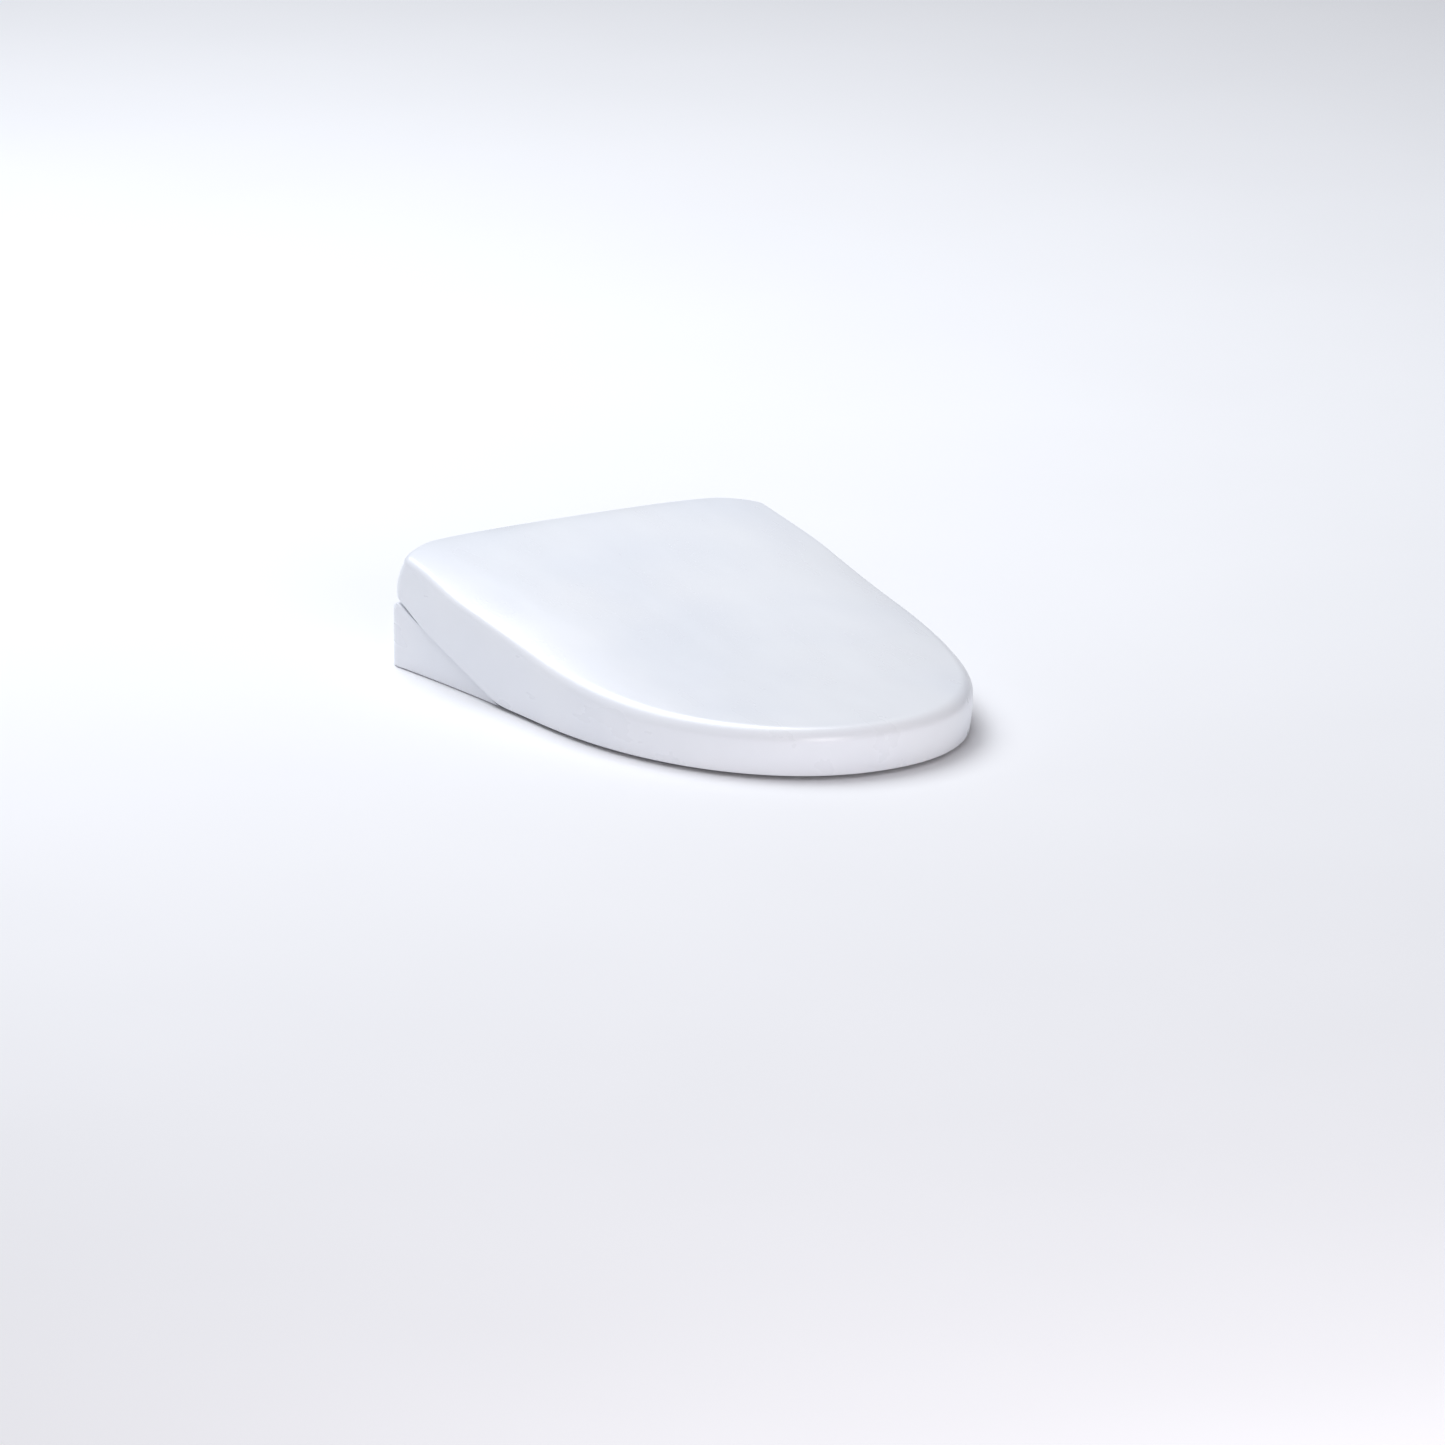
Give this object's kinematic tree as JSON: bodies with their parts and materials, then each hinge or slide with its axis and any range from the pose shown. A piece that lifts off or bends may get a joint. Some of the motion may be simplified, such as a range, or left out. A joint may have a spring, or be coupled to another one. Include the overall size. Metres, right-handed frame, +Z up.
{
  "type": "electric bidet seat",
  "caption": "Electric bidet seat: heated ring seat and sloping lid on a slim rear casing that holds a sliding wash wand, heater, blowers and controls.",
  "frame": {"origin": "midway between the two fixing bolts, on the plane the seat rests on (the bowl's rim)", "axes": "+Z up, -Y towards the front tip of the seat, +X to the seated person's left; X = 0 is the middle"},
  "size_m": [0.3834, 0.537, 0.1021],
  "materials": {
    "shell_white": "glossy moulded polypropylene",
    "seat_white": "glossy moulded polypropylene",
    "liner_white": "satin moulded polypropylene",
    "bush_nylon": "natural acetal",
    "soft_grey": "soft elastomer",
    "heater_foil": "foil",
    "wand_white": "polished",
    "steel": "turned",
    "motor_can": "zinc plated",
    "tank_grey": "moulded",
    "board_green": "solder mask",
    "module_black": "moulded",
    "duct_grey": "moulded",
    "inlet_brass": "machined",
    "strainer_steel": "mesh",
    "window_smoke": "smoked",
    "lens_clear": "diffusing",
    "plate_grey": "moulded",
    "adjuster_white": "moulded",
    "bezel_silver": "satin",
    "button_grey": "satin"
  },
  "bodies": {
    "unit": {"base_plate": "plate_grey", "bolt_adjusters": "adjuster_white", "mount_pads": "soft_grey", "lower_case": "shell_white", "deck_cover": "shell_white", "side_panel_left": "shell_white", "side_panel_right": "shell_white", "rear_cover": "shell_white", "wand_motor": "motor_can", "wand_guide": "bush_nylon", "water_heater": "tank_grey", "inlet_valve": "tank_grey", "flow_selector": "tank_grey", "air_pump": "tank_grey", "control_board": "board_green", "power_module": "module_black", "occupancy_sensor": "module_black", "seat_damper": "tank_grey", "lid_damper": "tank_grey", "hinge_shafts": "steel", "deodorizer_housing": "duct_grey", "deodorizer_motor": "motor_can", "dryer_housing": "duct_grey", "dryer_motor": "motor_can", "deodorizer_filter": "module_black", "dryer_duct": "duct_grey", "dryer_element": "motor_can", "water_inlet": "inlet_brass", "inlet_strainer": "strainer_steel", "power_gland": "module_black", "sensor_window": "window_smoke", "signal_lens": "lens_clear", "control_bezel": "bezel_silver", "button_board": "board_green", "case_screws": "steel"},
    "seat": {"seat_top": "seat_white", "seat_base": "seat_white", "seat_arm_left": "seat_white", "seat_arm_right": "seat_white", "seat_heater": "heater_foil", "seat_bushes": "bush_nylon", "seat_feet": "soft_grey"},
    "lid": {"lid_cover": "shell_white", "lid_liner": "liner_white", "lid_hinge_ears": "liner_white", "lid_bushes": "bush_nylon", "lid_buffers": "soft_grey"},
    "wand": {"wand_tube": "wand_white", "wand_tip": "wand_white", "wand_rack": "bush_nylon"},
    "pinion": {"drive_pinion": "bush_nylon", "pinion_shaft": "steel"},
    "deodorizer_fan": {"deodorizer_wheel": "bush_nylon"},
    "dryer_fan": {"dryer_wheel": "bush_nylon"},
    "stop_key": {"stop_button": "button_grey"},
    "rear_wash_key": {"rear_wash_button": "button_grey"},
    "power_key": {"power_button": "button_grey"},
    "release": {"release_button": "button_grey", "latch": "bush_nylon", "release_spring": "steel"}
  },
  "joints": [
    {"name": "seat_hinge", "type": "hinge", "parent": "unit", "child": "seat", "pos_m": [0, 0.039, 0.068], "axis": [1, 0, 0], "range_deg": [-100, 0]},
    {"name": "lid_hinge", "type": "hinge", "parent": "seat", "child": "lid", "pos_m": [0, 0.039, 0.068], "axis": [-1, 0, 0], "range_deg": [0, 110]},
    {"name": "wand_slide", "type": "slide", "parent": "unit", "child": "wand", "axis": [0, -0.8829, -0.4695], "range_m": [0, 0.088]},
    {"name": "pinion_spin", "type": "hinge", "parent": "unit", "child": "pinion", "pos_m": [0.02, -0.06847, 0.02519], "axis": [0, -0.4695, 0.8829], "range_deg": [-660, 660]},
    {"name": "deodorizer_spin", "type": "hinge", "parent": "unit", "child": "deodorizer_fan", "pos_m": [-0.096, -0.005, 0.05], "axis": [1, 0, 0], "continuous": true},
    {"name": "dryer_spin", "type": "hinge", "parent": "unit", "child": "dryer_fan", "pos_m": [0.048, -0.005, 0.047], "axis": [1, 0, 0], "continuous": true},
    {"name": "stop_press", "type": "slide", "parent": "unit", "child": "stop_key", "axis": [-1, 0, 0], "range_m": [0, 0.0008], "stiffness_N_per_m": 600},
    {"name": "rear_wash_press", "type": "slide", "parent": "unit", "child": "rear_wash_key", "axis": [-1, 0, 0], "range_m": [0, 0.0008], "stiffness_N_per_m": 600},
    {"name": "power_press", "type": "slide", "parent": "unit", "child": "power_key", "axis": [-1, 0, 0], "range_m": [0, 0.0008], "stiffness_N_per_m": 600},
    {"name": "release_press", "type": "slide", "parent": "unit", "child": "release", "axis": [-1, 0, 0], "range_m": [0, 0.004], "stiffness_N_per_m": 500, "deforming": ["release_spring"]}
  ],
  "couplings": [
    {"joint": "pinion_spin", "follows": "wand_slide", "rad_per_m": 125}
  ]
}
